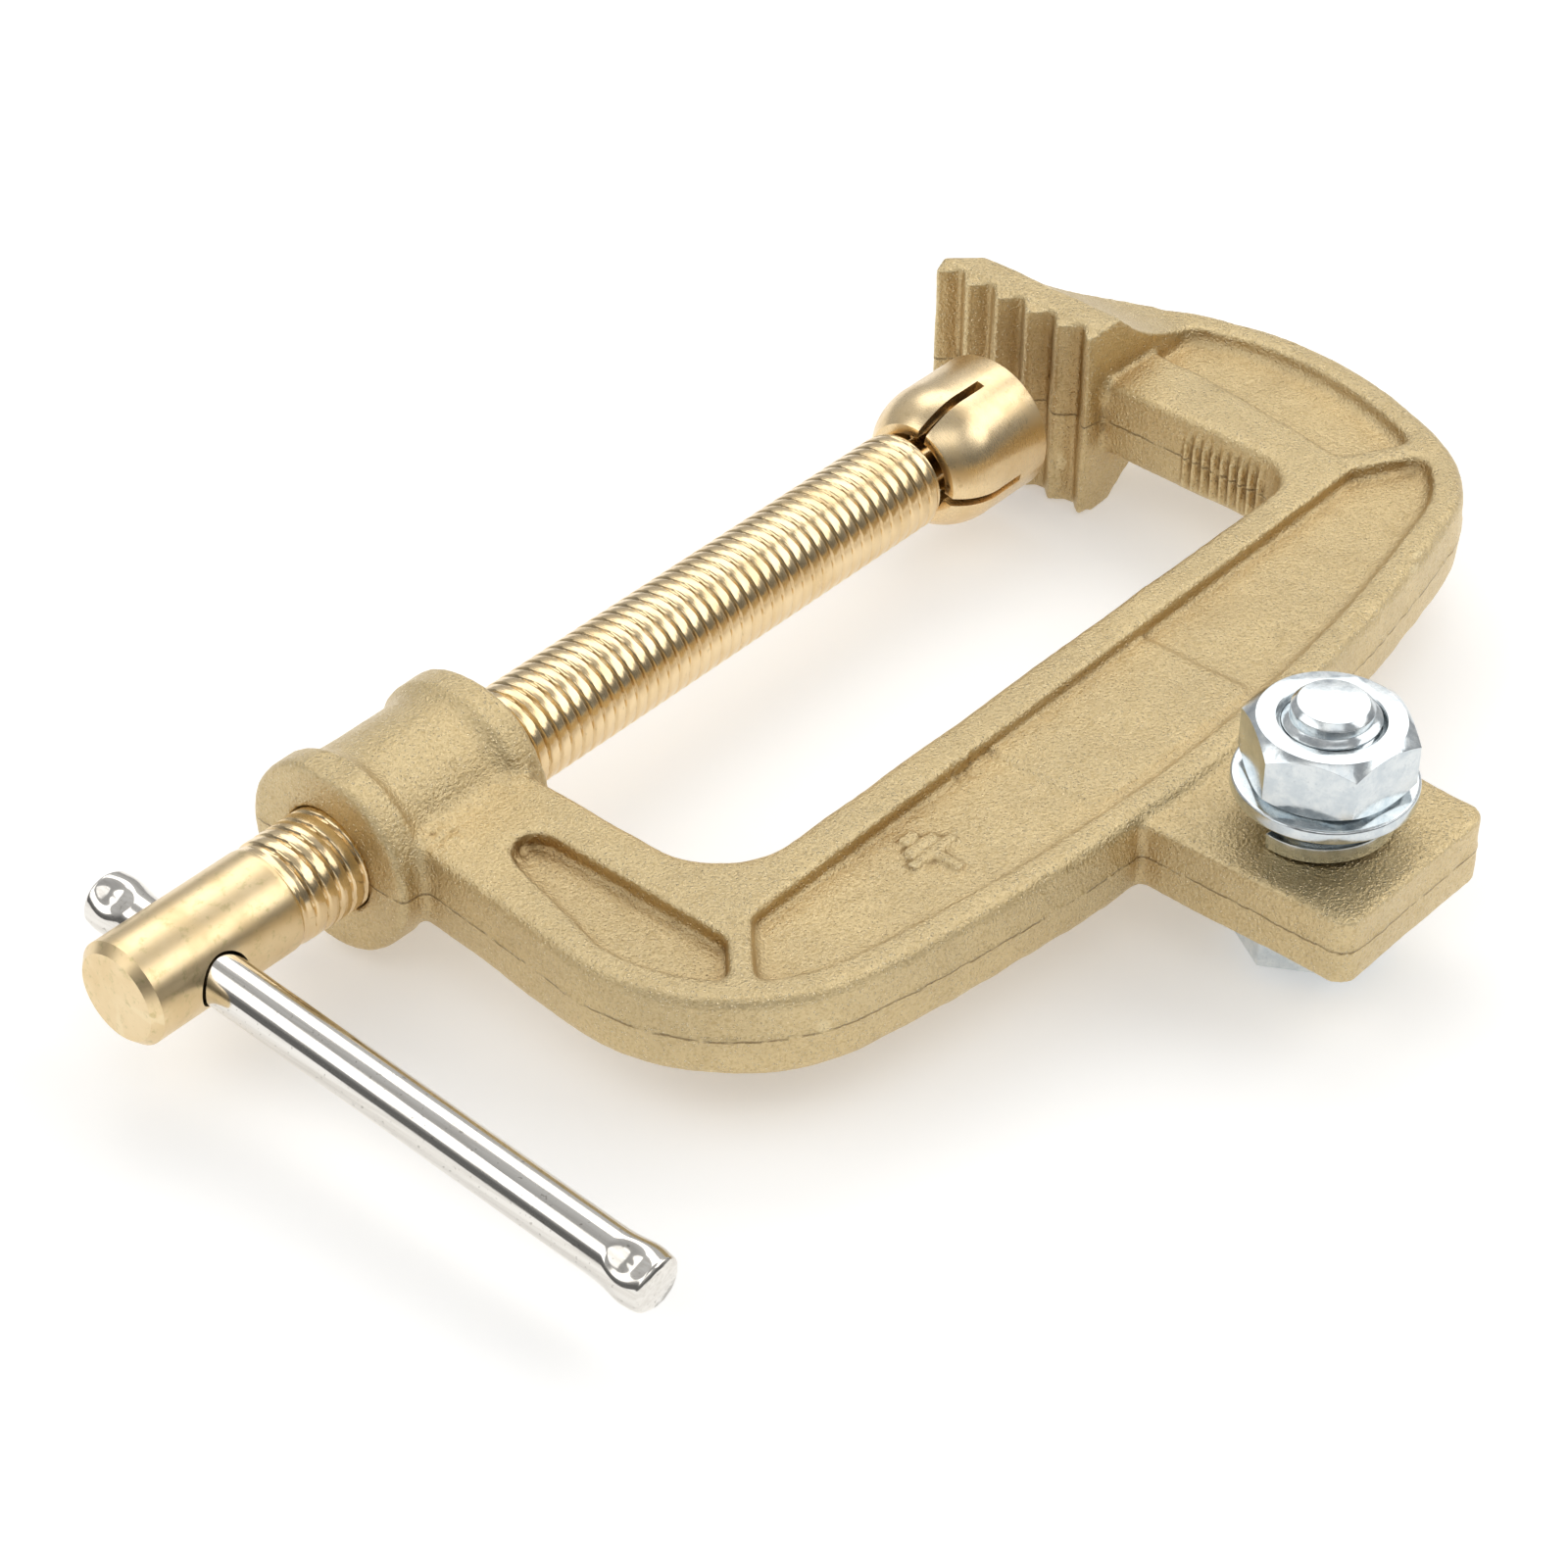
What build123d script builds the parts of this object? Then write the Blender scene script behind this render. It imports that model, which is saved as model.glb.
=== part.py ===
from build123d import *
import os
from math import cos, sin, radians, pi

os.makedirs("parts", exist_ok=True)

# Ground clamp: cast brass C-frame with a fixed serrated jaw and a terminal lug, a threaded
# spindle with a swivel pad and a sliding tommy bar, and a stud with nut and washers.
# Units mm. X = spindle axis, pointing at the fixed jaw. +Y = from the spine to the spindle.
# Z = 0 is the parting plane of the casting. Origin = tooth crest plane of the fixed jaw.

# ---- frame casting ----
half_thick = 5.85            # half thickness of the rims
draft_angle = 3.0            # casting draft, degrees
rim_round = 1.2
spine_inner_y = -43.4
low_arm_x = -110.8           # throat side of the arm that carries the boss
low_corner_r = 11.0
jaw_arm_x = 3.5              # throat side of the arm that carries the jaw
jaw_corner_r = 6.3
boss_arm_start = (-129.6, -4.0)
bend_low_start = (-133.0, -38.0)
spine_low = (-113.2, -66.8)
spine_crown = (-51.75, -73.1)
spine_high = (9.5, -65.2)
bend_high_mid = (22.5, -55.6)
jaw_arm_widest = (30.5, -31.0)
jaw_arm_outer = (24.4, -4.2)
jaw_back_corner = (6.2, 13.4)

# ---- recessed web ----
rim_width = 4.4
web_depth = 2.25
web_round = 0.6
panel_corner_r = 1.4
inner_wall_low_x = -118.1
inner_wall_y = -49.6
rib_width = 3.0

# ---- fixed jaw ----
tooth_pitch = 5.3
tooth_depth = 2.1
tooth_crest = 0.8
teeth_first_y = -2 * tooth_pitch
teeth_count = 6
jaw_half_height = 14.9
jaw_near_y = -11.2
jaw_far_y = 16.9
jaw_plate_back = 6.5

# ---- boss ----
boss_front = -134.3
boss_rear = -108.2
boss_r = 11.6
collar_r = 13.0
collar_length = 4.9
collar_flat_z = 12.5         # flat on top of the outer collar

# ---- terminal lug and stud, M12 ----
lug_x = -53.4
lug_width = 29.2
lug_end_y = -102.6
lug_half_thick = 4.75
stud_y = -88.0
stud_r = 6.0
stud_root_r = 5.05
stud_pitch = 1.75
stud_hole_r = 6.25
stud_end_z = 22.4
hex_flats = 19.0
bolt_head_height = 7.5
nut_height = 8.4
spring_washer_r = 9.2
spring_washer_inner_r = 6.2
spring_washer_thick = 2.1
spring_washer_rise = 3.1     # how far its raised end stands above its low end
flat_washer_r = 11.4
flat_washer_thick = 1.8
nut_turn_angle = 51.0        # direction of one corner of the nut, from +X
spring_cut_angle = 162.0     # direction of the split in the spring washer, from +X

# ---- spindle, M14 x 2 ----
screw_r = 7.0
screw_root_r = 5.85
screw_pitch = 2.0
screw_bore_r = 7.06
thread_low = -145.4
thread_high = -25.6
shank_end = -168.0
shank_r = 6.95
neck_r = 4.0
ball_r = 6.0
ball_x = -15.8

# ---- swivel pad ----
pad_face_x = -6.5
pad_rear_x = -24.2
pad_r = 10.0
pad_lip_r = 7.3
pad_mouth_r = 5.9
socket_r = 6.06
slot_width = 1.3
slot_end_x = -12.6
slot_angle = 103.0

# ---- tommy bar ----
bar_x = -157.3
bar_tilt = 3.85              # slope of the bar across the spindle, degrees
bar_r = 3.4
bar_hole_r = 3.7
bar_far = 13.9               # end beyond the spindle
bar_near = -75.2
swage_length = 4.6
swage_reach = 4.25           # half width over the punched ears
bar_plane = Plane(
    origin=(bar_x, 0, 0), x_dir=(1, 0, 0),
    z_dir=(0, cos(radians(bar_tilt)), sin(radians(bar_tilt))),
)

mark_centre = (-88.5, -56.5) # earth mark on the web


def regular_thread(start, end, axis_dir, centre, root_r, crest_r, pitch):
    """A right-hand ridge that winds along an axis from start to end."""
    rise = end - start
    origin = Vector(*centre) + Vector(*axis_dir) * start
    path = Helix(pitch=pitch, height=rise, radius=root_r, center=origin, direction=axis_dir)
    profile_plane = Plane(origin=path @ 0, x_dir=axis_dir, z_dir=path % 0)
    depth = crest_r - root_r
    with BuildSketch(profile_plane) as ridge:
        with BuildLine():
            Polyline(
                (-0.46 * pitch, -0.15), (-0.07 * pitch, depth),
                (0.07 * pitch, depth), (0.46 * pitch, -0.15), close=True,
            )
        make_face()
    return sweep(ridge.sketch, path=path, is_frenet=True, mode=Mode.PRIVATE)


# Outline of the C in the parting plane
with BuildSketch() as c_outline:
    with BuildLine():
        Line(boss_arm_start, bend_low_start)
        ThreePointArc(bend_low_start, (-127.2, -57.5), spine_low)
        back = ThreePointArc(spine_low, spine_crown, spine_high)
        bend = TangentArc(spine_high, bend_high_mid, tangent=back % 1)
        shoulder = TangentArc(bend_high_mid, jaw_arm_widest, tangent=bend % 1)
        crown = TangentArc(jaw_arm_widest, jaw_arm_outer, tangent=shoulder % 1)
        TangentArc(jaw_arm_outer, jaw_back_corner, tangent=crown % 1)
        Polyline(
            jaw_back_corner, (jaw_arm_x, jaw_back_corner[1]),
            (jaw_arm_x, spine_inner_y + jaw_corner_r),
        )
        CenterArc((jaw_arm_x - jaw_corner_r, spine_inner_y + jaw_corner_r), jaw_corner_r, 0, -90)
        Line((jaw_arm_x - jaw_corner_r, spine_inner_y), (low_arm_x + low_corner_r, spine_inner_y))
        CenterArc((low_arm_x + low_corner_r, spine_inner_y + low_corner_r), low_corner_r, 270, -90)
        Polyline(
            (low_arm_x, spine_inner_y + low_corner_r), (low_arm_x, boss_arm_start[1]),
            boss_arm_start,
        )
    make_face()

# Recessed panels between the rims, split by the two corner ribs
with BuildSketch() as web_panels:
    add(c_outline.sketch)
    offset(amount=-rim_width)
    with BuildLine():
        Polyline(
            (inner_wall_low_x, 20), (inner_wall_low_x, inner_wall_y), (10.0, -48.6),
            (12.4, -36), (14.4, -20), (14.6, 20), close=True,
        )
    make_face(mode=Mode.SUBTRACT)
    with BuildLine():
        Polyline(
            (-140, 10), (-124.2, 10), (-124.2, -21), (-128.4, -38), (-140, -38), close=True,
        )
    make_face(mode=Mode.SUBTRACT)
    with Locations((-121.2, -12.4)):
        Rectangle(14, 20, mode=Mode.SUBTRACT)
    with Locations((-121.15, -22.4)):
        Circle(3.05)
    with Locations((20, -1.5)):
        Rectangle(30, 20, mode=Mode.SUBTRACT)
    with Locations(Location((-116.0, -50.0, 0), (0, 0, 43.7))):
        Rectangle(26, rib_width, mode=Mode.SUBTRACT)
    with Locations(Location((13.6, -49.0, 0), (0, 0, -29.5))):
        Rectangle(26, rib_width + 0.4, mode=Mode.SUBTRACT)
    offset(amount=-panel_corner_r)
    offset(amount=panel_corner_r)

# Pockets cut down to the web; the two larger ones have a rounded foot
with BuildPart() as web_pockets:
    with BuildSketch(Plane.XY.offset(half_thick - web_depth)):
        add(web_panels.sketch)
    extrude(amount=web_depth + 1)
    fillet(web_pockets.faces().sort_by(Axis.Z)[:3].sort_by(Axis.X)[1:].edges(), web_round)

# Flare from the arm's outer rim up to the tall jaw plate
with BuildPart() as jaw_flare:
    with BuildSketch(Plane.XZ):
        with BuildLine():
            ThreePointArc((24.5, 5.7), (13.6, 9.3), (jaw_plate_back, jaw_half_height))
            Polyline(
                (jaw_plate_back, jaw_half_height), (tooth_depth, jaw_half_height),
                (tooth_depth, -jaw_half_height), (jaw_plate_back, -jaw_half_height),
            )
            ThreePointArc((jaw_plate_back, -jaw_half_height), (13.6, -9.3), (24.5, -5.7))
            Line((24.5, -5.7), (24.5, 5.7))
        make_face()
    extrude(amount=30, both=True)
    with BuildSketch():
        with BuildLine():
            Polyline((tooth_depth, jaw_near_y), (26.6, jaw_near_y), jaw_arm_outer)
            ThreePointArc(jaw_arm_outer, (16.2, 6.2), jaw_back_corner)
            Polyline(
                jaw_back_corner, (tooth_depth + 0.8, jaw_far_y), (tooth_depth, jaw_far_y),
                (tooth_depth, jaw_near_y),
            )
        make_face()
    extrude(amount=20, both=True, mode=Mode.INTERSECT)

with BuildPart() as c_frame:
    # upper half of the C: drafted walls, rounded rim edges
    add(c_outline.sketch)
    extrude(amount=half_thick)
    walls = c_frame.faces().filter_by(lambda f: abs(f.normal_at().Z) < 0.1)
    draft(walls, Plane.XY, draft_angle)
    fillet(c_frame.faces().sort_by(Axis.Z)[-1].edges(), rim_round)
    # recessed web
    add(web_pockets.part, mode=Mode.SUBTRACT)
    mirror(about=Plane.XY)
    # terminal lug, blended into the spine
    with BuildSketch():
        with BuildLine():
            half = lug_width / 2
            FilletPolyline(
                (lug_x - half - 7, -69.0), (lug_x - half - 0.4, -72.6), (lug_x - half, lug_end_y),
                (lug_x + half, lug_end_y), (lug_x + half + 0.4, -72.6), (lug_x + half + 7, -69.0),
                radius=2.8,
            )
            Line((lug_x + half + 7, -69.0), (lug_x - half - 7, -69.0))
        make_face()
    extrude(amount=lug_half_thick, both=True)
    # fixed jaw
    add(jaw_flare.part)
    with BuildSketch():
        for n in range(teeth_count):
            crest_y = teeth_first_y + n * tooth_pitch
            low = max(crest_y - tooth_pitch / 2 + 0.2, jaw_near_y)
            high = min(crest_y + tooth_pitch / 2 - 0.2, jaw_far_y)
            with BuildLine():
                Polyline(
                    (tooth_depth + 0.5, low), (tooth_depth, low),
                    (0, max(crest_y - tooth_crest / 2, jaw_near_y + 0.2)),
                    (0, min(crest_y + tooth_crest / 2, jaw_far_y - 0.2)),
                    (tooth_depth, high), (tooth_depth + 0.5, high), close=True,
                )
            make_face()
    extrude(amount=jaw_half_height - 0.5, both=True)
    # boss with a collar at each end
    with BuildSketch(Plane.XZ):
        with BuildLine():
            Polyline(
                (boss_front, 0), (boss_front, collar_r - 0.6), (boss_front + 0.6, collar_r),
                (boss_front + collar_length - 0.7, collar_r),
                (boss_front + collar_length + 0.7, boss_r),
                (boss_rear - collar_length - 0.7, boss_r),
                (boss_rear - collar_length + 0.7, collar_r - 0.2),
                (boss_rear - 0.6, collar_r - 0.2), (boss_rear, collar_r - 0.8), (boss_rear, 0),
                close=True,
            )
        make_face()
    revolve(axis=Axis.X)
    with BuildSketch(Plane.XY.offset(collar_flat_z)):
        with Locations((boss_front + collar_length / 2, 0)):
            Rectangle(collar_length + 2, 10)
    extrude(amount=collar_r - collar_flat_z + 1, mode=Mode.SUBTRACT)
    # spindle bore and stud hole
    with BuildSketch(Plane.YZ.offset(boss_front - 1)):
        Circle(screw_bore_r)
    extrude(amount=boss_rear - boss_front + 2, mode=Mode.SUBTRACT)
    with BuildSketch(Plane.XY.offset(-10)):
        with Locations((lug_x, stud_y)):
            Circle(stud_hole_r)
    extrude(amount=20, mode=Mode.SUBTRACT)
    # generic earth mark, raised on the web floor
    web_z = half_thick - web_depth
    with BuildSketch(Plane(origin=(*mark_centre, web_z - 0.2), x_dir=(-1, 0, 0), z_dir=(0, 0, 1))):
        with Locations((0, 2.4)):
            Rectangle(1.2, 4.4)
        for n, length in enumerate((8.0, 5.2, 2.4)):
            with Locations((0, -1.9 * n)):
                Rectangle(length, 1.2)
    extrude(amount=0.8)
    # raised blank pads on the web and fine ribs on the throat side of the jaw arm
    for side in (1, -1):
        with BuildSketch(Plane.XY.offset(side * web_z)):
            with Locations((-53.1, -57.6)):
                RectangleRounded(31.2, 16.8, 1.0)
        extrude(amount=0.5, both=True)
    with BuildSketch(Plane.YZ.offset(jaw_arm_x)):
        with Locations((-31.8, -1.2)):
            with GridLocations(1.55, 0, 9, 1):
                Rectangle(0.6, 7.2)
    extrude(amount=0.3, both=True)
c_frame.part.label = "c_frame"
export_step(c_frame.part, "parts/c_frame.step")

with BuildPart() as clamp_screw:
    with BuildSketch(Plane.XZ):
        with BuildLine():
            Polyline(
                (shank_end, 0), (shank_end, shank_r - 1.0), (shank_end + 1.0, shank_r),
                (thread_low - 0.3, shank_r), (thread_low + 0.9, screw_root_r),
                (thread_high - 0.6, screw_root_r), (thread_high, screw_root_r - 0.6),
                (thread_high, neck_r), (ball_x - (ball_r ** 2 - neck_r ** 2) ** 0.5, neck_r),
            )
            ThreePointArc(
                (ball_x - (ball_r ** 2 - neck_r ** 2) ** 0.5, neck_r), (ball_x, ball_r),
                (ball_x + ball_r, 0),
            )
            Line((ball_x + ball_r, 0), (shank_end, 0))
        make_face()
    revolve(axis=Axis.X)
    add(regular_thread(
        thread_low + 0.9, thread_high - 1.0, (1, 0, 0), (0, 0, 0),
        screw_root_r, screw_r, screw_pitch,
    ))
    # cross hole for the bar
    with BuildSketch(bar_plane):
        Circle(bar_hole_r)
    extrude(amount=10, both=True, mode=Mode.SUBTRACT)
clamp_screw.part.label = "clamp_screw"
export_step(clamp_screw.part, "parts/clamp_screw.step")

with BuildPart() as swivel_pad:
    with BuildSketch(Plane.XZ):
        with BuildLine():
            Polyline(
                (pad_face_x, 0), (pad_face_x, pad_r - 0.9), (pad_face_x - 0.9, pad_r),
                (-16.5, pad_r),
            )
            ThreePointArc((-16.5, pad_r), (-20.9, 9.35), (pad_rear_x, pad_lip_r))
            Polyline(
                (pad_rear_x, pad_lip_r), (pad_rear_x, pad_mouth_r), (-22.6, pad_mouth_r),
                (ball_x - 3.2, 7.3), (ball_x, 7.5), (ball_x, socket_r),
            )
            ThreePointArc(
                (ball_x, socket_r), (ball_x + socket_r * cos(pi / 4), socket_r * sin(pi / 4)),
                (ball_x + socket_r, 0),
            )
            Line((ball_x + socket_r, 0), (pad_face_x, 0))
        make_face()
    revolve(axis=Axis.X)
    # four slots that let the rear be crimped over the ball
    for n in range(4):
        slot_dir = radians(slot_angle + 90 * n)
        slot_plane = Plane(
            origin=(pad_rear_x - 1, 0, 0), x_dir=(0, -sin(slot_dir), cos(slot_dir)), z_dir=(1, 0, 0),
        )
        with BuildSketch(slot_plane):
            with Locations((0, -7.5)):
                Rectangle(slot_width, 7)
        extrude(amount=slot_end_x - pad_rear_x + 1, mode=Mode.SUBTRACT)
swivel_pad.part.label = "swivel_pad"
export_step(swivel_pad.part, "parts/swivel_pad.step")

with BuildPart() as tommy_bar:
    bar_base = bar_plane.offset(bar_near)
    with BuildSketch(bar_base):
        Circle(bar_r)
    extrude(amount=bar_far - bar_near)
    chamfer(tommy_bar.edges().filter_by(GeomType.CIRCLE), 0.5)
    # punched ears near both ends
    for start in (bar_near + 1.1, bar_far - 1.1 - swage_length):
        with BuildSketch(bar_plane.offset(start)):
            Rectangle(2 * swage_reach, 1.7)
            Circle(bar_r)
        extrude(amount=swage_length)
        with BuildSketch(bar_plane.offset(start + 0.6)):
            with PolarLocations(bar_r + 0.35, 2, start_angle=90):
                Circle(1.15)
        extrude(amount=swage_length - 1.2, mode=Mode.SUBTRACT)
tommy_bar.part.label = "tommy_bar"
export_step(tommy_bar.part, "parts/tommy_bar.step")

with BuildPart() as terminal_bolt:
    with BuildSketch(Plane.XY.offset(-lug_half_thick - bolt_head_height)):
        with Locations((lug_x, stud_y)):
            RegularPolygon(hex_flats / 2, 6, major_radius=False)
    extrude(amount=bolt_head_height)
    chamfer(terminal_bolt.faces().sort_by(Axis.Z)[0].edges(), 0.7)
    with BuildSketch(Plane.XY.offset(-lug_half_thick)):
        with Locations((lug_x, stud_y)):
            Circle(stud_r)
    extrude(amount=2 * lug_half_thick - 1)
    with BuildSketch(Plane.XY.offset(lug_half_thick - 1)):
        with Locations((lug_x, stud_y)):
            Circle(stud_root_r)
    extrude(amount=stud_end_z - lug_half_thick + 1)
    chamfer(terminal_bolt.faces().sort_by(Axis.Z)[-1].edges(), 0.7)
    add(regular_thread(
        lug_half_thick, stud_end_z - 1.6, (0, 0, 1), (lug_x, stud_y, 0),
        stud_root_r, stud_r, stud_pitch,
    ))
terminal_bolt.part.label = "terminal_bolt"
export_step(terminal_bolt.part, "parts/terminal_bolt.step")

spring_mid_r = (spring_washer_r + spring_washer_inner_r) / 2
spring_mid_z = lug_half_thick + spring_washer_thick / 2 + 0.02
spring_lift = 0.96 * spring_washer_rise
with BuildPart() as spring_washer:
    # one open turn of square wire; the split lies between its low and raised ends
    coil = Helix(
        pitch=spring_washer_rise, height=spring_lift, radius=spring_mid_r,
        center=(0, 0, spring_mid_z),
    )
    coil = coil.rotate(Axis.Z, spring_cut_angle + 7).moved(Location((lug_x, stud_y, 0)))
    with BuildSketch(Plane(origin=coil @ 0, x_dir=(0, 0, 1), z_dir=coil % 0)):
        Rectangle(spring_washer_thick, spring_washer_r - spring_washer_inner_r)
    sweep(path=coil, is_frenet=True)
spring_washer.part.label = "spring_washer"
export_step(spring_washer.part, "parts/spring_washer.step")

flat_base = spring_mid_z + spring_lift + spring_washer_thick / 2 + 0.02
with BuildPart() as flat_washer:
    with BuildSketch(Plane.XY.offset(flat_base)):
        with Locations((lug_x, stud_y)):
            Circle(flat_washer_r)
            Circle(stud_r + 0.4, mode=Mode.SUBTRACT)
    extrude(amount=flat_washer_thick)
    chamfer(flat_washer.faces().sort_by(Axis.Z)[-1].edges(), 0.25)
flat_washer.part.label = "flat_washer"
export_step(flat_washer.part, "parts/flat_washer.step")

nut_base = flat_base + flat_washer_thick
nut_top = nut_base + nut_height
nut_face_r = hex_flats * 0.475
nut_outer_r = hex_flats * 0.62
corner_drop = (nut_outer_r - nut_face_r) * 0.8
nut_bore_r = stud_r + 0.06
with BuildPart() as hex_nut:
    # bored blank whose corners are turned off by a cone at both ends
    with BuildSketch(Plane.XZ.offset(-stud_y)):
        with BuildLine():
            Polyline(
                (lug_x + nut_bore_r + 0.6, nut_base), (lug_x + nut_face_r, nut_base),
                (lug_x + nut_outer_r, nut_base + corner_drop),
                (lug_x + nut_outer_r, nut_top - corner_drop), (lug_x + nut_face_r, nut_top),
                (lug_x + nut_bore_r + 0.6, nut_top), (lug_x + nut_bore_r, nut_top - 0.6),
                (lug_x + nut_bore_r, nut_base + 0.6), close=True,
            )
        make_face()
    revolve(axis=Axis((lug_x, stud_y, 0), (0, 0, 1)))
    with BuildSketch(Plane.XY.offset(nut_base)):
        with Locations(Location((lug_x, stud_y, 0), (0, 0, nut_turn_angle))):
            RegularPolygon(hex_flats / 2, 6, major_radius=False)
    extrude(amount=nut_height, mode=Mode.INTERSECT)
hex_nut.part.label = "hex_nut"
export_step(hex_nut.part, "parts/hex_nut.step")
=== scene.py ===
from math import cos, pi, radians, sin

import bpy
import numpy as np
from mathutils import Matrix, Vector


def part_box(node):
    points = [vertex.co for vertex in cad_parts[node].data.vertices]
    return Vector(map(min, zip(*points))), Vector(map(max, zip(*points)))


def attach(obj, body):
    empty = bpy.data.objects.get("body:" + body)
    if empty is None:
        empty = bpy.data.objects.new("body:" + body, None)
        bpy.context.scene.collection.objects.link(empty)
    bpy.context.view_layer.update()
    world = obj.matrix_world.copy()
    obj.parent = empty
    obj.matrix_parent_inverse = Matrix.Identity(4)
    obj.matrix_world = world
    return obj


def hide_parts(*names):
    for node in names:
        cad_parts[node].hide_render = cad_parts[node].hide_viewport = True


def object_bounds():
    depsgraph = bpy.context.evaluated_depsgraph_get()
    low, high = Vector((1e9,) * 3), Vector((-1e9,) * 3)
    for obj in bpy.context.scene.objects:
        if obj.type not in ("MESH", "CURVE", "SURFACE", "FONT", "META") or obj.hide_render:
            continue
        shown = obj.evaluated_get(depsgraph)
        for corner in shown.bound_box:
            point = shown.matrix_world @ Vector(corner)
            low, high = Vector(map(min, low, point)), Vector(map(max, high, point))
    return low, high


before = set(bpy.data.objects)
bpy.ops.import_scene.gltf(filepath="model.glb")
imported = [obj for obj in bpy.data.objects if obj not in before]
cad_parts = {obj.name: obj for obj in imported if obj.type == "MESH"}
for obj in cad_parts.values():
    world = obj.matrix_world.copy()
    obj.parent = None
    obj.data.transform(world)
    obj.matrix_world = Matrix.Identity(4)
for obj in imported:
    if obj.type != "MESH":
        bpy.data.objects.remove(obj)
cad_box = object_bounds()

MM = 0.001

# ---- camera ----
CAMERA_PLACE = Vector((-394.0, -295.3, 322.6)) * MM
CAMERA_AZIMUTH = 40.65       # direction of view, from +X towards +Y, degrees
CAMERA_DIP = 38.55
CAMERA_ROLL = 0.63
CAMERA_LENS = 96.55


def add_camera():
    data = bpy.data.cameras.new("camera")
    data.lens = CAMERA_LENS
    data.clip_start, data.clip_end = 0.01, 20
    camera = bpy.data.objects.new("camera", data)
    bpy.context.scene.collection.objects.link(camera)
    azimuth, dip, roll = (radians(a) for a in (CAMERA_AZIMUTH, CAMERA_DIP, CAMERA_ROLL))
    look = Vector((cos(dip) * cos(azimuth), cos(dip) * sin(azimuth), -sin(dip)))
    level = Vector((sin(azimuth), -cos(azimuth), 0))
    up = level.cross(look)
    right = level * cos(roll) + up * sin(roll)
    up = right.cross(look)
    rotation = Matrix((right, up, -look)).transposed()
    camera.matrix_world = Matrix.Translation(CAMERA_PLACE) @ rotation.to_4x4()
    bpy.context.scene.camera = camera


# ---- node material helpers ----
class Nodes:
    """A node tree under construction, with short calls for what the materials repeat."""

    def __init__(self, tree):
        self.tree = tree
        tree.nodes.clear()

    def add(self, kind, props=None, **inputs):
        made = self.tree.nodes.new(kind)
        for key, value in (props or {}).items():
            setattr(made, key, value)
        for key, value in inputs.items():
            self.put(made, key.replace("_", " "), value)
        return made

    def put(self, node, socket, value):
        """Sets or links one input, named or numbered."""
        target = node.inputs[int(socket)] if socket.isdigit() else node.inputs[socket]
        if isinstance(value, bpy.types.NodeSocket):
            self.tree.links.new(value, target)
        else:
            target.default_value = value

    def math(self, operation, a, b=0.0, clamp=False):
        made = self.add("ShaderNodeMath", {"operation": operation, "use_clamp": clamp})
        self.put(made, "0", a)
        self.put(made, "1", b)
        return made.outputs[0]

    def span(self, value, low, high, out_low=0.0, out_high=1.0):
        """Smooth map of a value from one range to another, clamped."""
        made = self.add("ShaderNodeMapRange", {"interpolation_type": "SMOOTHSTEP"}, Value=value)
        for socket, number in zip(("From Min", "From Max", "To Min", "To Max"),
                                  (low, high, out_low, out_high)):
            self.put(made, socket, number)
        return made.outputs[0]

    def mix(self, share, a, b, blend="MIX"):
        """Colour mix."""
        made = self.add("ShaderNodeMix", {"data_type": "RGBA", "blend_type": blend})
        self.put(made, "0", share)
        for socket, value in (("6", a), ("7", b)):
            self.put(made, socket, value)
        return made.outputs[2]

    def place(self, stretch=(1, 1, 1), turned=(0, 0, 0)):
        """Object coordinates, scaled along each axis."""
        coords = self.add("ShaderNodeTexCoord").outputs["Object"]
        made = self.add("ShaderNodeMapping", Vector=coords, Scale=stretch, Rotation=turned)
        return made.outputs[0]

    def noise(self, size_mm, where, detail=3.0, rough=0.55):
        """Noise whose features are about size_mm across, from 0 to 1."""
        made = self.add("ShaderNodeTexNoise", Vector=where, Scale=1 / (size_mm * MM), Detail=detail,
                        Roughness=rough)
        return made.outputs[0]

    def bump(self, height, depth_mm, strength=1.0, normal=None):
        made = self.add("ShaderNodeBump", Height=height, Distance=depth_mm * MM, Strength=strength)
        if normal is not None:
            self.put(made, "Normal", normal)
        return made.outputs[0]

    def metal(self, colour, rough, normal, **constants):
        """The Principled metal and the output."""
        shader = self.add("ShaderNodeBsdfPrincipled", Metallic=1.0, Roughness=rough, Normal=normal)
        self.put(shader, "Base Color", colour)
        for socket, value in constants.items():
            self.put(shader, socket.replace("_", " "), value)
        self.add("ShaderNodeOutputMaterial", Surface=shader.outputs[0])


def new_material(name):
    material = bpy.data.materials.new(name)
    material.use_nodes = True
    return material, Nodes(material.node_tree)


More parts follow.
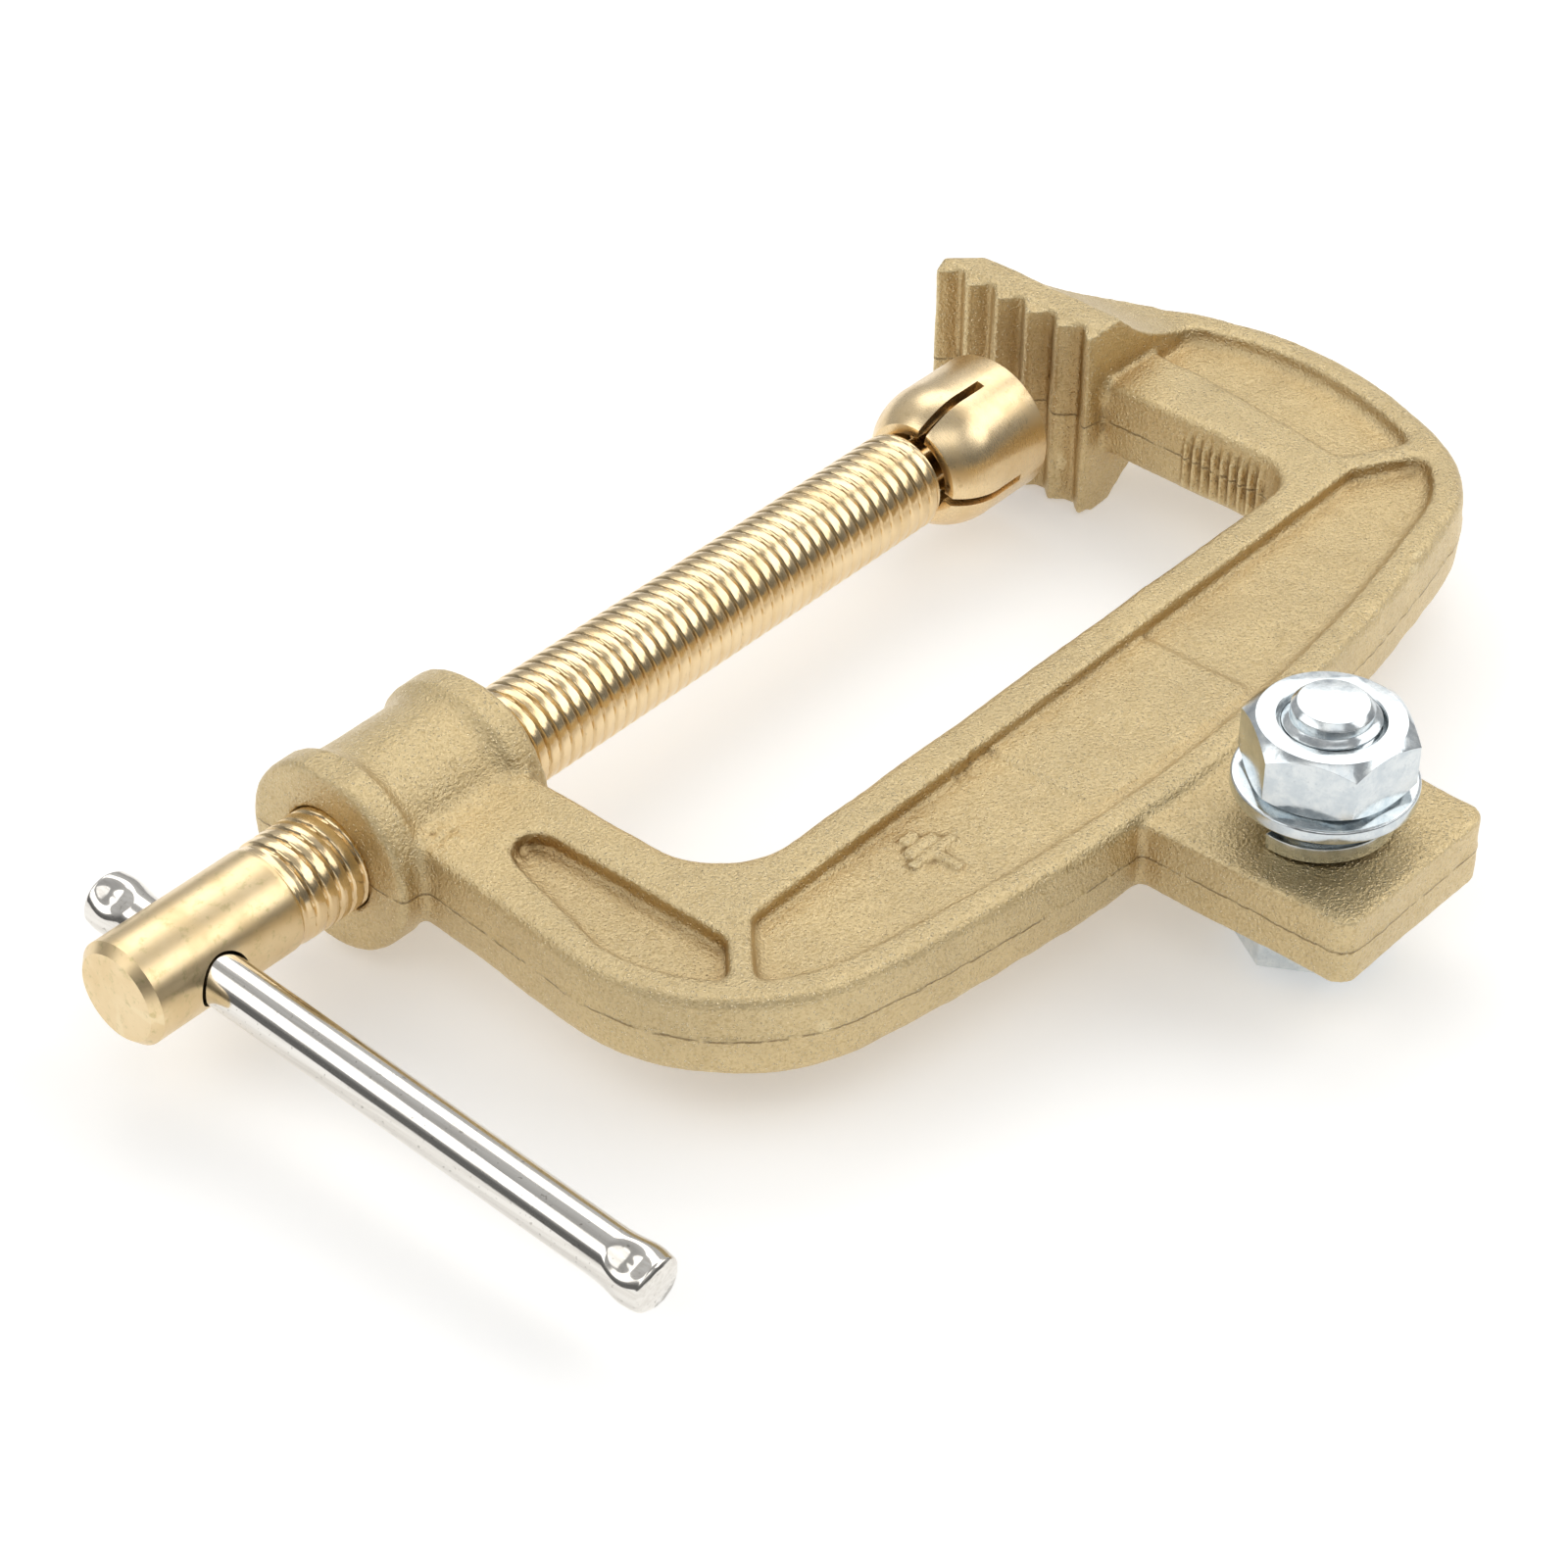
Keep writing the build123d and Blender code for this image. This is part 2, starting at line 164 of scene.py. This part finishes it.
# ---- materials ----
def cast_brass():
    """Sand-cast brass: fine grain with shiny facets and painted glints, painted shade in its hollows, a
    flash line at the parting plane.
    """
    material, n = new_material("cast_brass")
    where = n.place()
    broad = n.noise(14, where, 2)
    patches = n.noise(3.2, where, 3)
    grain = n.noise(0.42, where, 3, 0.6)
    cells = n.add("ShaderNodeTexVoronoi", {"feature": "F1"}, Vector=where, Scale=1 / (0.5 * MM))
    shiny_facets_and_painted_glint = n.span(cells.outputs[0], 0.32, 0.06)
    colour = n.mix(n.span(broad, 0.3, 0.7), (0.66, 0.525, 0.30, 1), (0.72, 0.57, 0.32, 1))
    colour = n.mix(n.span(patches, 0.42, 0.66, 0, 0.25), colour, (0.58, 0.44, 0.23, 1))
    colour = n.mix(n.span(grain, 0.48, 0.68, 0, 0.45), colour, (0.46, 0.33, 0.145, 1))
    # painted glint highlights: the voronoi cells are lightened towards a pale highlight colour, and below
    # they are also made smoother and raised
    colour = n.mix(n.math("MULTIPLY", shiny_facets_and_painted_glint, 0.6), colour, (0.97, 0.88, 0.66, 1))
    # painted shade with a painted warm reflection: the hollows found by local ambient occlusion are
    # darkened towards orange-brown
    hollow = n.add("ShaderNodeAmbientOcclusion", {"samples": 6, "only_local": True}, Distance=7 * MM)
    hollow = n.span(hollow.outputs["AO"], 0.86, 0.42, 0, 0.9)
    colour = n.mix(hollow, colour, n.mix(n.span(grain, 0.45, 0.62), (0.40, 0.225, 0.075, 1),
                                         (0.62, 0.42, 0.19, 1)))
    # wear on crests; painted shade in corners and creases, where the pointiness is low
    crest = n.add("ShaderNodeNewGeometry").outputs["Pointiness"]
    colour = n.mix(n.span(crest, 0.52, 0.56, 0, 0.4), colour, (0.88, 0.75, 0.47, 1))
    colour = n.mix(n.span(crest, 0.49, 0.45, 0, 0.85), colour, (0.25, 0.16, 0.065, 1))
    # parting line along the outer walls
    height = n.add("ShaderNodeSeparateXYZ", Vector=n.add("ShaderNodeTexCoord").outputs["Object"])
    wander = n.math("MULTIPLY", n.math("SUBTRACT", n.noise(1.6, where, 2), 0.5), 0.5 * MM)
    off_plane = n.math("ABSOLUTE", n.math("ADD", height.outputs[2], wander))
    seam = n.math("MULTIPLY", n.span(off_plane, 0.22 * MM, 0.05 * MM), n.span(patches, 0.36, 0.52))
    colour = n.mix(n.math("MULTIPLY", seam, 0.65), colour, (0.18, 0.11, 0.045, 1))
    rough = n.span(grain, 0.3, 0.7, 0.27, 0.40)
    rough = n.math("SUBTRACT", rough, n.math("MULTIPLY", shiny_facets_and_painted_glint, 0.18))
    texture = n.math("SUBTRACT", n.math("ADD", grain, n.math("MULTIPLY", shiny_facets_and_painted_glint, 0.30)),
                     n.math("MULTIPLY", seam, 0.9))
    normal = n.bump(texture, 0.26, 1.0)
    normal = n.bump(patches, 0.16, 0.5, normal)
    n.metal(colour, rough, normal, Specular_IOR_Level=0.5)
    return material


def turned_brass(name, polish, tool_lines, dull_below=-1.0):
    """Bright machined brass with fine tool lines and marks, handled dull where X is below dull_below."""
    material, n = new_material(name)
    where = n.place()
    lines = n.noise(0.9, n.place((14, 1, 1)), 2, 0.6)
    smudge = n.noise(6, where, 3)
    marks = n.noise(1.4, where, 3, 0.7)
    colour = n.mix(n.span(smudge, 0.35, 0.7), (0.86, 0.68, 0.42, 1), (0.79, 0.60, 0.34, 1))
    colour = n.mix(n.span(marks, 0.60, 0.74, 0, 0.45), colour, (0.52, 0.38, 0.19, 1))
    crest = n.add("ShaderNodeNewGeometry").outputs["Pointiness"]
    # painted shade in the thread grooves and other creases, where the pointiness is low
    colour = n.mix(n.span(crest, 0.49, 0.40, 0, 0.55), colour, (0.52, 0.33, 0.12, 1))
    # painted highlight on the thread crests and edges, where the pointiness is high
    colour = n.mix(n.span(crest, 0.53, 0.62, 0, 0.4), colour, (0.95, 0.82, 0.56, 1))
    rough = n.math("ADD", n.span(lines, 0.3, 0.7, polish, polish + 0.08),
                   n.span(smudge, 0.5, 0.75, 0, 0.10))
    along = n.add("ShaderNodeSeparateXYZ", Vector=n.add("ShaderNodeTexCoord").outputs["Object"])
    dull = n.span(along.outputs[0], dull_below, dull_below + 0.5 * MM, 1, 0)
    rough = n.math("ADD", rough, n.math("MULTIPLY", dull, 0.13))
    colour = n.mix(n.math("MULTIPLY", dull, n.span(marks, 0.52, 0.68, 0.1, 0.55)), colour,
                   (0.60, 0.50, 0.25, 1))
    normal = n.bump(lines, 0.01, tool_lines)
    normal = n.bump(marks, 0.02, 0.12, normal)
    n.metal(colour, rough, normal, Specular_IOR_Level=0.5)
    return material


def nickel_steel():
    """Nickel-plated bar: mirror bright, faintly warm, with drawing streaks along its length."""
    material, n = new_material("nickel_steel")
    where = n.place()
    streaks = n.noise(0.7, n.place((1, 0.03, 1)), 2)
    ripple = n.noise(4, where, 2)
    specks = n.noise(0.5, where, 1)
    colour = n.mix(n.span(streaks, 0.35, 0.7), (0.80, 0.775, 0.73, 1), (0.70, 0.67, 0.62, 1))
    colour = n.mix(n.span(specks, 0.66, 0.76, 0, 0.6), colour, (0.35, 0.32, 0.28, 1))
    rough = n.span(streaks, 0.3, 0.75, 0.07, 0.17)
    normal = n.bump(streaks, 0.006, 0.5)
    normal = n.bump(ripple, 0.03, 0.25, normal)
    n.metal(colour, rough, normal, Specular_IOR_Level=0.5)
    return material


def zinc_steel():
    """Clear zinc plate: bright, slightly blue, mottled and finely scratched."""
    material, n = new_material("zinc_steel")
    where = n.place()
    mottle = n.noise(2.2, where, 4, 0.65)
    spangle = n.noise(0.45, where, 2)
    scratches = n.noise(1.2, n.place((1, 0.12, 1), (0, 0, 0.7)), 2, 0.7)
    colour = n.mix(n.span(mottle, 0.35, 0.65), (0.56, 0.61, 0.64, 1), (0.70, 0.735, 0.745, 1))
    colour = n.mix(n.span(spangle, 0.6, 0.75, 0, 0.35), colour, (0.36, 0.41, 0.45, 1))
    rough = n.math("ADD", n.span(mottle, 0.3, 0.7, 0.13, 0.24), n.span(scratches, 0.5, 0.8, 0, 0.08))
    normal = n.bump(mottle, 0.05, 0.35)
    normal = n.bump(scratches, 0.012, 0.4, normal)
    n.metal(colour, rough, normal, Specular_IOR_Level=0.5)
    return material


# ---- mesh helpers ----
def link_object(name, mesh):
    made = bpy.data.objects.new(name, mesh)
    bpy.context.scene.collection.objects.link(made)
    return made


def finish_piece(piece, node, body, material):
    """Gives the piece its material and puts it in place of its CAD node."""
    piece.data.materials.clear()
    piece.data.materials.append(material)
    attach(piece, body)
    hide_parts(node)


def apply_modifiers(piece):
    graph = bpy.context.evaluated_depsgraph_get()
    mesh = bpy.data.meshes.new_from_object(piece.evaluated_get(graph))
    piece.modifiers.clear()
    piece.data = mesh


def read_points(mesh):
    points = np.empty(len(mesh.vertices) * 3, np.float32)
    mesh.vertices.foreach_get("co", points)
    return points.reshape(-1, 3).astype(float)


def write_points(mesh, points):
    mesh.vertices.foreach_set("co", points.astype(np.float32).ravel())
    mesh.update()


def read_normals(mesh):
    normals = np.empty(len(mesh.vertices) * 3, np.float32)
    mesh.vertex_normals.foreach_get("vector", normals)
    return normals.reshape(-1, 3).astype(float)


class Relaxer:
    """Moves points towards the mean of their neighbours."""

    def __init__(self, mesh):
        ends = np.empty(len(mesh.edges) * 2, np.int32)
        mesh.edges.foreach_get("vertices", ends)
        first, second = ends.reshape(-1, 2).T
        self.mesh = mesh
        self.here = np.concatenate((first, second))
        self.there = np.concatenate((second, first))
        self.count = len(mesh.vertices)
        self.degree = np.bincount(self.here, minlength=self.count)

    def pull(self, points):
        total = np.stack([
            np.bincount(self.here, points[self.there, k], self.count) for k in range(3)
        ], axis=1)
        return total / self.degree[:, None] - points

    def smooth(self, rounds, weight=1.0):
        points = read_points(self.mesh)
        share = np.broadcast_to(np.asarray(weight, float) * 0.5, self.count)[:, None]
        for _ in range(rounds):
            points += share * self.pull(points)
        write_points(self.mesh, points)

    def spread(self, values, rounds):
        """A point value averaged outwards over the surface."""
        for _ in range(rounds):
            values = np.bincount(self.here, values[self.there], self.count) / self.degree
        return values

    def fill_corners(self, rounds, weight):
        """Rounds inner corners only, as a fillet that grows with each round."""
        for _ in range(rounds):
            points = read_points(self.mesh)
            normals = read_normals(self.mesh)
            for _ in range(4):
                pull = self.pull(points)
                inward = np.einsum("ij,ij->i", pull, normals)
                points += (0.5 * weight * (inward > 0))[:, None] * pull
            write_points(self.mesh, points)


def wave_noise(points, size, seed):
    """Smooth noise from -1 to 1 about size across, as a sum of slanted waves."""
    rng = np.random.default_rng(seed)
    total = np.zeros(len(points))
    waves = 24
    for _ in range(waves):
        direction = rng.normal(size=3)
        direction *= rng.uniform(0.6, 1.4) * 2 * pi / size / np.linalg.norm(direction)
        total += np.sin(points @ direction + rng.uniform(0, 2 * pi))
    return total / waves ** 0.5 / 1.2


# ---- the casting ----
VOXEL = 0.32 * MM
CAST_TRIANGLES = 190_000
THROAT_CENTRE = (-53.0, -20.0)
JAW_NEAR_Y = -11.2
BOSS_LENGTH = 33             # the boss and its run-out, from the casting's low end
WEB_TOP = 3.4                # heights between which a pocket's wall lies
RIM_TOP = 5.9
RIM_START = 4.6              # the rim is rounded from here up
MARK_CENTRE = (-88.5, -56.5)
MARK_REACH = 8
FLASH_WIDTH = 0.28
JAW_ARM_X = 3.5
RIB_PITCH = 1.55
RIB_HEIGHT = 0.20
RIBS_MIDDLE_Y = -31.8
# places of torn sand, mm, each with its reach
ROUGH_SPOTS = (
    ((-126.5, -12.0, 5.0), 3.2), ((-128.0, -11.5, -1.0), 3.0), ((-111.0, -11.0, 5.5), 3.0),
    ((-121.5, -21.0, 4.2), 2.4), ((9.0, -12.5, 1.0), 3.2), ((-74.0, -49.5, 4.5), 2.6),
    ((4.0, -4.0, 4.0), 3.0),
)


def round_casting(mesh):
    """Fillets in the inner corners and bead-like rims; the raised earth mark stays crisp."""
    relax = Relaxer(mesh)
    points = read_points(mesh) / MM
    from_mark = np.hypot(points[:, 0] - MARK_CENTRE[0], points[:, 1] - MARK_CENTRE[1])
    off_mark = np.clip((from_mark - MARK_REACH) / 3, 0, 1)
    relax.smooth(3, 0.25 + 0.75 * off_mark)
    points = read_points(mesh) / MM
    normals = read_normals(mesh)
    x, y, z = points.T
    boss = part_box("c_frame")[0].x / MM
    near_boss = np.clip((boss + BOSS_LENGTH - x) / 4, 0, 1) * np.clip((y + 20) / 4, 0, 1)
    relax.fill_corners(2, 0.6 * off_mark)
    relax.fill_corners(16, near_boss)
    # the web runs up to the outer rim in a wide fillet
    inward = np.stack((THROAT_CENTRE[0] - x, THROAT_CENTRE[1] - y), 1)
    inward /= np.linalg.norm(inward, axis=1)[:, None]
    faces_throat = np.clip(np.einsum("ij,ij->i", normals[:, :2], inward), 0, 1)
    in_pocket = (np.abs(z) > WEB_TOP) & (np.abs(z) < RIM_TOP) & (y < JAW_NEAR_Y) & (near_boss < 0.1)
    gentle = np.clip(relax.spread(faces_throat * in_pocket, 10) * 6, 0, 1)
    relax.fill_corners(14, gentle * off_mark)
    relax.smooth(12, (np.abs(z) > RIM_START) * (y < JAW_NEAR_Y - 3) * 1.0)
    relax.smooth(1, off_mark)


def roughen_casting(mesh):
    """Moves the surface along its normals: mould unevenness, flash ridge, fine ribs and torn spots."""
    points = read_points(mesh)
    normals = read_normals(mesh)
    x, y, z = points.T / MM
    uneven = 0.07 * wave_noise(points, 11 * MM, 1) + 0.022 * wave_noise(points, 3.2 * MM, 2)
    uneven += 0.014 * wave_noise(points, 1.3 * MM, 3)
    # a low ragged flash ridge where the mould halves met
    flash = np.exp(-(z / FLASH_WIDTH) ** 2) * (np.abs(normals[:, 2]) < 0.4)
    uneven += flash * (0.10 + 0.10 * wave_noise(points, 2.2 * MM, 4))
    # fine ribs on the throat side of the jaw arm
    on_arm = (np.abs(x - JAW_ARM_X) < 0.9) * np.clip((4.9 - np.abs(z)) / 1.2, 0, 1)
    on_arm = on_arm * np.clip((-24 - y) / 2, 0, 1) * np.clip((y + 39.6) / 1.5, 0, 1)
    ribs = RIB_HEIGHT * np.cos((y - RIBS_MIDDLE_Y) * 2 * pi / RIB_PITCH)
    uneven += on_arm * (ribs - flash * 0.12)
    # rough metal where the mould was weak
    for spot, reach in ROUGH_SPOTS:
        near = np.exp(-(((points / MM - np.array(spot)) ** 2).sum(1)) / reach ** 2)
        torn = 0.13 * wave_noise(points, 1.9 * MM, 5) + 0.08 * wave_noise(points, 1.1 * MM, 6)
        uneven += near * torn
    # the tooth crests stay just behind the plane that the pad closes on
    on_crests = (np.abs(x) < 0.6) & (y > JAW_NEAR_Y - 3)
    uneven[on_crests] = np.minimum(uneven[on_crests], 0) - 0.05
    write_points(mesh, points + normals * uneven[:, None] * MM)


def build_casting(material):
    """The CAD casting with cast-in fillets, softened edges and the unevenness of a sand mould."""
    piece = link_object("casting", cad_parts["c_frame"].data.copy())
    remesh = piece.modifiers.new("remesh", "REMESH")
    remesh.mode = "VOXEL"
    remesh.voxel_size = VOXEL
    apply_modifiers(piece)
    mesh = piece.data
    round_casting(mesh)
    roughen_casting(mesh)
    thin = piece.modifiers.new("thin", "DECIMATE")
    mesh.calc_loop_triangles()
    thin.ratio = min(1.0, CAST_TRIANGLES / len(mesh.loop_triangles))
    apply_modifiers(piece)
    piece.data.shade_smooth()
    finish_piece(piece, "c_frame", "frame", material)


# ---- turned pieces ----
def lathe(name, stations, radius_at, steps):
    """A closed surface round the local Z axis: one ring per station, and a point at each end."""
    angles = np.arange(steps) * 2 * pi / steps
    stations = np.asarray(stations, float)
    rings = []
    for z in stations:
        radius = radius_at(angles, z)
        rings.append(np.stack((radius * np.cos(angles), radius * np.sin(angles), np.full(steps, z)), 1))
    ends = np.array([[0, 0, stations[0]], [0, 0, stations[-1]]])
    points = np.concatenate(rings + [ends]) * MM
    last = len(stations) * steps
    faces = []
    for k in range(len(stations) - 1):
        for i in range(steps):
            j = (i + 1) % steps
            faces.append((k * steps + i, k * steps + j, (k + 1) * steps + j, (k + 1) * steps + i))
    for i in range(steps):
        j = (i + 1) % steps
        faces.append((last, j, i))
        faces.append((last + 1, last - steps + i, last - steps + j))
    mesh = bpy.data.meshes.new(name)
    mesh.from_pydata(points.tolist(), [], faces)
    mesh.update()
    return link_object(name, mesh)


def smooth_shade(piece, sharp_angle):
    piece.data.shade_smooth()
    piece.data.set_sharp_from_angle(angle=radians(sharp_angle))


def lay_along(piece, axis, origin):
    """Turns the local Z axis of a piece onto axis and moves it to origin."""
    turned = Vector((0, 0, 1)).rotation_difference(Vector(axis)).to_matrix().to_4x4()
    piece.data.transform(Matrix.Translation(origin) @ turned)


THREAD_ROOT = 6.5
THREAD_CREST = 7.0
THREAD_PITCH = 2.0
THREAD_LOW = -145.0          # run-out at the shank
THREAD_HIGH = -25.6
SHANK_R = 6.95
NECK_R = 4.0
BALL_R = 6.0
BALL_FROM_TIP = 6.0          # ball centre to the screw's front end
BAR_R = 3.4
BAR_HOLE_R = 3.7
BAR_FROM_END = 10.7          # bar axis to the end of the shank
BAR_TILT = 3.85


def thread_height(angles, x):
    """Share of the thread depth at x: 0 in the narrow grooves, near 1 on the wide bands."""
    along = (x / THREAD_PITCH - angles / (2 * pi)) % 1.0
    edge = 1 - np.abs(2 * along - 1)
    ramp = np.clip(edge / 0.38, 0, 1)
    ramp = ramp * ramp * (3 - 2 * ramp) * (0.88 + 0.12 * edge)
    fade = min(1.0, max(0.0, (x - THREAD_LOW) / 2.2)) * min(1.0, max(0.0, (THREAD_HIGH - x) / 1.6))
    return ramp * fade


def build_screw(material):
    """The spindle: plain shank with its cross hole, rolled thread, neck and ball."""
    low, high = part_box("clamp_screw")
    shank_end, tip = low.x / MM, high.x / MM
    ball_x = tip - BALL_FROM_TIP
    neck_x = ball_x - (BALL_R ** 2 - NECK_R ** 2) ** 0.5

    def outline(x):
        """Plain radius without the thread."""
        if x < shank_end + 1.1:
            share = max(0.0, (shank_end + 1.1 - x) / 1.1)
            return SHANK_R - 1.1 * share
        if x < THREAD_LOW:
            return SHANK_R
        if x < THREAD_LOW + 1.2:
            return SHANK_R + (THREAD_ROOT - SHANK_R) * (x - THREAD_LOW) / 1.2
        if x < THREAD_HIGH - 0.6:
            return THREAD_ROOT
        if x < THREAD_HIGH:
            return THREAD_ROOT - (x - THREAD_HIGH + 0.6)
        if x < neck_x:
            return NECK_R
        return max(0.05, max(0.0, BALL_R ** 2 - (x - ball_x) ** 2) ** 0.5)

    def radius_at(angles, x):
        depth = THREAD_CREST - THREAD_ROOT
        return np.full(len(angles), outline(x)) + depth * thread_height(angles, x)

    stations = [shank_end]
    stations += list(shank_end + np.array([0.02, 0.12, 0.4, 0.8, 1.02, 1.1, 1.25]))
    stations += list(np.linspace(shank_end + 2, THREAD_LOW - 0.5, 24))
    stations += list(np.arange(THREAD_LOW, THREAD_HIGH, THREAD_PITCH / 16))
    stations += [THREAD_HIGH - 0.01, THREAD_HIGH, neck_x]
    stations += list(ball_x - BALL_R * np.cos(np.linspace(pi * 0.24, pi * 0.995, 22)))
    piece = lathe("spindle_screw", stations, radius_at, 80)
    lay_along(piece, (1, 0, 0), (0, 0, 0))
    hole = lathe("hole_cutter", [-12, 12], lambda angles, _: np.full(len(angles), BAR_HOLE_R), 48)
    lay_along(hole, bar_axis(), bar_origin())
    cut = piece.modifiers.new("hole", "BOOLEAN")
    cut.operation = "DIFFERENCE"
    cut.solver = "EXACT"
    cut.object = hole
    bpy.context.view_layer.update()
    apply_modifiers(piece)
    bpy.data.objects.remove(hole)
    smooth_shade(piece, 38)
    finish_piece(piece, "clamp_screw", "spindle", material)


def bar_axis():
    return Vector((0, cos(radians(BAR_TILT)), sin(radians(BAR_TILT))))


def bar_origin():
    return Vector((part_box("clamp_screw")[0].x + BAR_FROM_END * MM, 0, 0))


DENT_ANGLE = 118.0           # direction of the punch mark round the bar, from +X towards +Z
DENT_FROM_END = 3.3
DENT_R = 2.9
DENT_DEPTH = 0.8
EAR_HEIGHT = 0.5


def build_bar(material):
    """The tommy bar: round bar whose ends are punched so that it can't fall out."""
    low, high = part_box("tommy_bar")
    across = EAR_HEIGHT + BAR_R
    tilt = radians(BAR_TILT)
    near = (low.y / MM + across * sin(tilt)) / cos(tilt)
    far = high.y / MM / cos(tilt)

    def radius_at(angles, z):
        edge = min(z - near, far - z)
        radius = np.full(len(angles), BAR_R - 0.55 * max(0.0, 1 - edge / 0.55) ** 1.6)
        for side in (0, pi):
            # the lathe starts at +X and turns towards -Z
            off = (angles - side + radians(DENT_ANGLE) + pi) % (2 * pi) - pi
            reach = np.hypot(off * BAR_R, edge - DENT_FROM_END) / DENT_R
            hollow = np.clip(1.12 - reach, 0, 1)
            hollow = hollow * hollow * (3 - 2 * hollow)
            radius -= DENT_DEPTH * hollow
            ear = (off - pi / 2 + pi) % (2 * pi) - pi
            radius += EAR_HEIGHT * np.exp(-(ear / 0.5) ** 2 - ((edge - 2.6) / 2.6) ** 2)
        return radius

    ends = np.concatenate((np.array([0.0, 0.03, 0.1, 0.2, 0.35]), np.arange(0.55, 7.2, 0.16)))
    middle = np.linspace(near + 8, far - 8, 40)
    stations = list(near + ends) + list(middle) + list(far - ends[::-1])
    piece = lathe("tommy_bar_visual", stations, radius_at, 96)
    # local X stays along +X, and local Y turns to -Z
    axis = bar_axis()
    side = Vector((1, 0, 0))
    turned = Matrix((side, axis.cross(side), axis)).transposed().to_4x4()
    piece.data.transform(Matrix.Translation(bar_origin()) @ turned)
    smooth_shade(piece, 40)
    finish_piece(piece, "tommy_bar", "bar", material)


def soften_edges(node, name, width_mm, body, material):
    """A copy of a CAD node with small rounded edges that catch the light."""
    piece = link_object(name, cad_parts[node].data.copy())
    weld = piece.modifiers.new("weld", "WELD")
    weld.merge_threshold = 0.002 * MM
    flat = piece.modifiers.new("flat", "DECIMATE")
    flat.decimate_type = "DISSOLVE"
    flat.angle_limit = radians(0.3)
    bevel = piece.modifiers.new("bevel", "BEVEL")
    bevel.width = width_mm * MM
    bevel.segments = 3
    bevel.limit_method = "ANGLE"
    bevel.angle_limit = radians(28)
    apply_modifiers(piece)
    smooth_shade(piece, 30)
    finish_piece(piece, node, body, material)


# ---- stage ----
def add_area(name, place, target, size, power, colour):
    data = bpy.data.lights.new(name, "AREA")
    data.shape = "RECTANGLE"
    data.size, data.size_y = size
    data.energy = power
    data.color = colour
    lamp = bpy.data.objects.new(name, data)
    bpy.context.scene.collection.objects.link(lamp)
    lamp.location = place
    lamp.rotation_euler = (Vector(target) - Vector(place)).to_track_quat("-Z", "Y").to_euler()


FLOOR_GLOW = 0.32            # the light table under the object
FLOOR_REACH = 6.0
LAMP_COLOUR = (1.0, 0.99, 0.97)


def add_floor():
    """A pale, faintly glowing floor just under the object."""
    low = cad_box[0].z - 0.05 * MM
    reach = FLOOR_REACH
    mesh = bpy.data.meshes.new("floor")
    corners = [(-reach, -reach, low), (reach, -reach, low), (reach, reach, low), (-reach, reach, low)]
    mesh.from_pydata(corners, [], [(0, 1, 2, 3)])
    floor = link_object("floor", mesh)
    material, n = new_material("floor")
    where = n.place()
    tone = n.mix(n.noise(40, where, 2), (0.86, 0.86, 0.855, 1), (0.88, 0.88, 0.875, 1))
    shader = n.add("ShaderNodeBsdfPrincipled", Roughness=0.9)
    n.put(shader, "Base Color", tone)
    n.put(shader, "Emission Color", (1, 1, 1, 1))
    n.put(shader, "Emission Strength", FLOOR_GLOW)
    n.add("ShaderNodeOutputMaterial", Surface=shader.outputs[0])
    mesh.materials.append(material)


def add_world():
    """Dim studio walls, darker near the horizon on the camera's side; the soft boxes are lamps."""
    world = bpy.data.worlds.new("studio")
    bpy.context.scene.world = world
    world.use_nodes = True
    n = Nodes(world.node_tree)
    direction = n.add("ShaderNodeTexCoord").outputs["Generated"]
    parts = n.add("ShaderNodeSeparateXYZ", Vector=direction)
    azimuth = radians(CAMERA_AZIMUTH)
    ahead = n.math("ADD", n.math("MULTIPLY", parts.outputs[0], cos(azimuth)),
                   n.math("MULTIPLY", parts.outputs[1], sin(azimuth)))
    near_side = n.span(parts.outputs[2], 0.30, 0.55, 0.15, 0.42)
    far_side = n.span(parts.outputs[2], 0.0, 0.5, 0.42, 0.60)
    level = n.mix(n.span(ahead, -0.1, 0.6), near_side, far_side)
    around = n.add("ShaderNodeBackground", Color=level, Strength=1.0)
    seen = n.add("ShaderNodeBackground", Color=(0.93, 0.93, 0.93, 1), Strength=1.0)
    ray = n.add("ShaderNodeLightPath").outputs["Is Camera Ray"]
    mixed = n.add("ShaderNodeMixShader")
    n.put(mixed, "0", ray)
    n.put(mixed, "1", around.outputs[0])
    n.put(mixed, "2", seen.outputs[0])
    n.add("ShaderNodeOutputWorld", Surface=mixed.outputs[0])


# name, azimuth from +X, elevation, distance m, width and height m, brightness
SOFT_BOXES = (
    ("box_left", 147, 41, 0.85, 0.80, 0.42, 1.45),
    ("box_right", -40, 41, 0.85, 0.80, 0.46, 1.75),
    ("box_front", 224, 58, 0.95, 0.70, 0.40, 1.0),
    ("box_back", 40, 48, 0.95, 0.95, 0.50, 1.60),
)


def add_lights():
    """Four soft boxes round the object."""
    centre = (cad_box[0] + cad_box[1]) / 2
    for name, azimuth, elevation, distance, width, height, brightness in SOFT_BOXES:
        turn, rise = radians(azimuth), radians(elevation)
        away = Vector((cos(rise) * cos(turn), cos(rise) * sin(turn), sin(rise)))
        power = brightness * pi * width * height
        add_area(name, centre + away * distance, centre, (width, height), power, LAMP_COLOUR)


def main():
    bpy.context.scene.view_settings.view_transform = "Standard"
    add_camera()
    add_world()
    add_floor()
    add_lights()
    build_casting(cast_brass())
    build_screw(turned_brass("turned_brass_screw", 0.15, 0.25, THREAD_LOW * MM))
    build_bar(nickel_steel())
    cap = turned_brass("turned_brass_pad", 0.24, 0.8)
    zinc = zinc_steel()
    soften_edges("swivel_pad", "pad_cap", 0.15, "pad", cap)
    soften_edges("hex_nut", "stud_nut", 0.22, "nut", zinc)
    soften_edges("flat_washer", "washer_flat", 0.18, "washers", zinc)
    soften_edges("spring_washer", "washer_spring", 0.18, "washers", zinc)
    soften_edges("terminal_bolt", "stud_bolt", 0.08, "frame", zinc)


main()
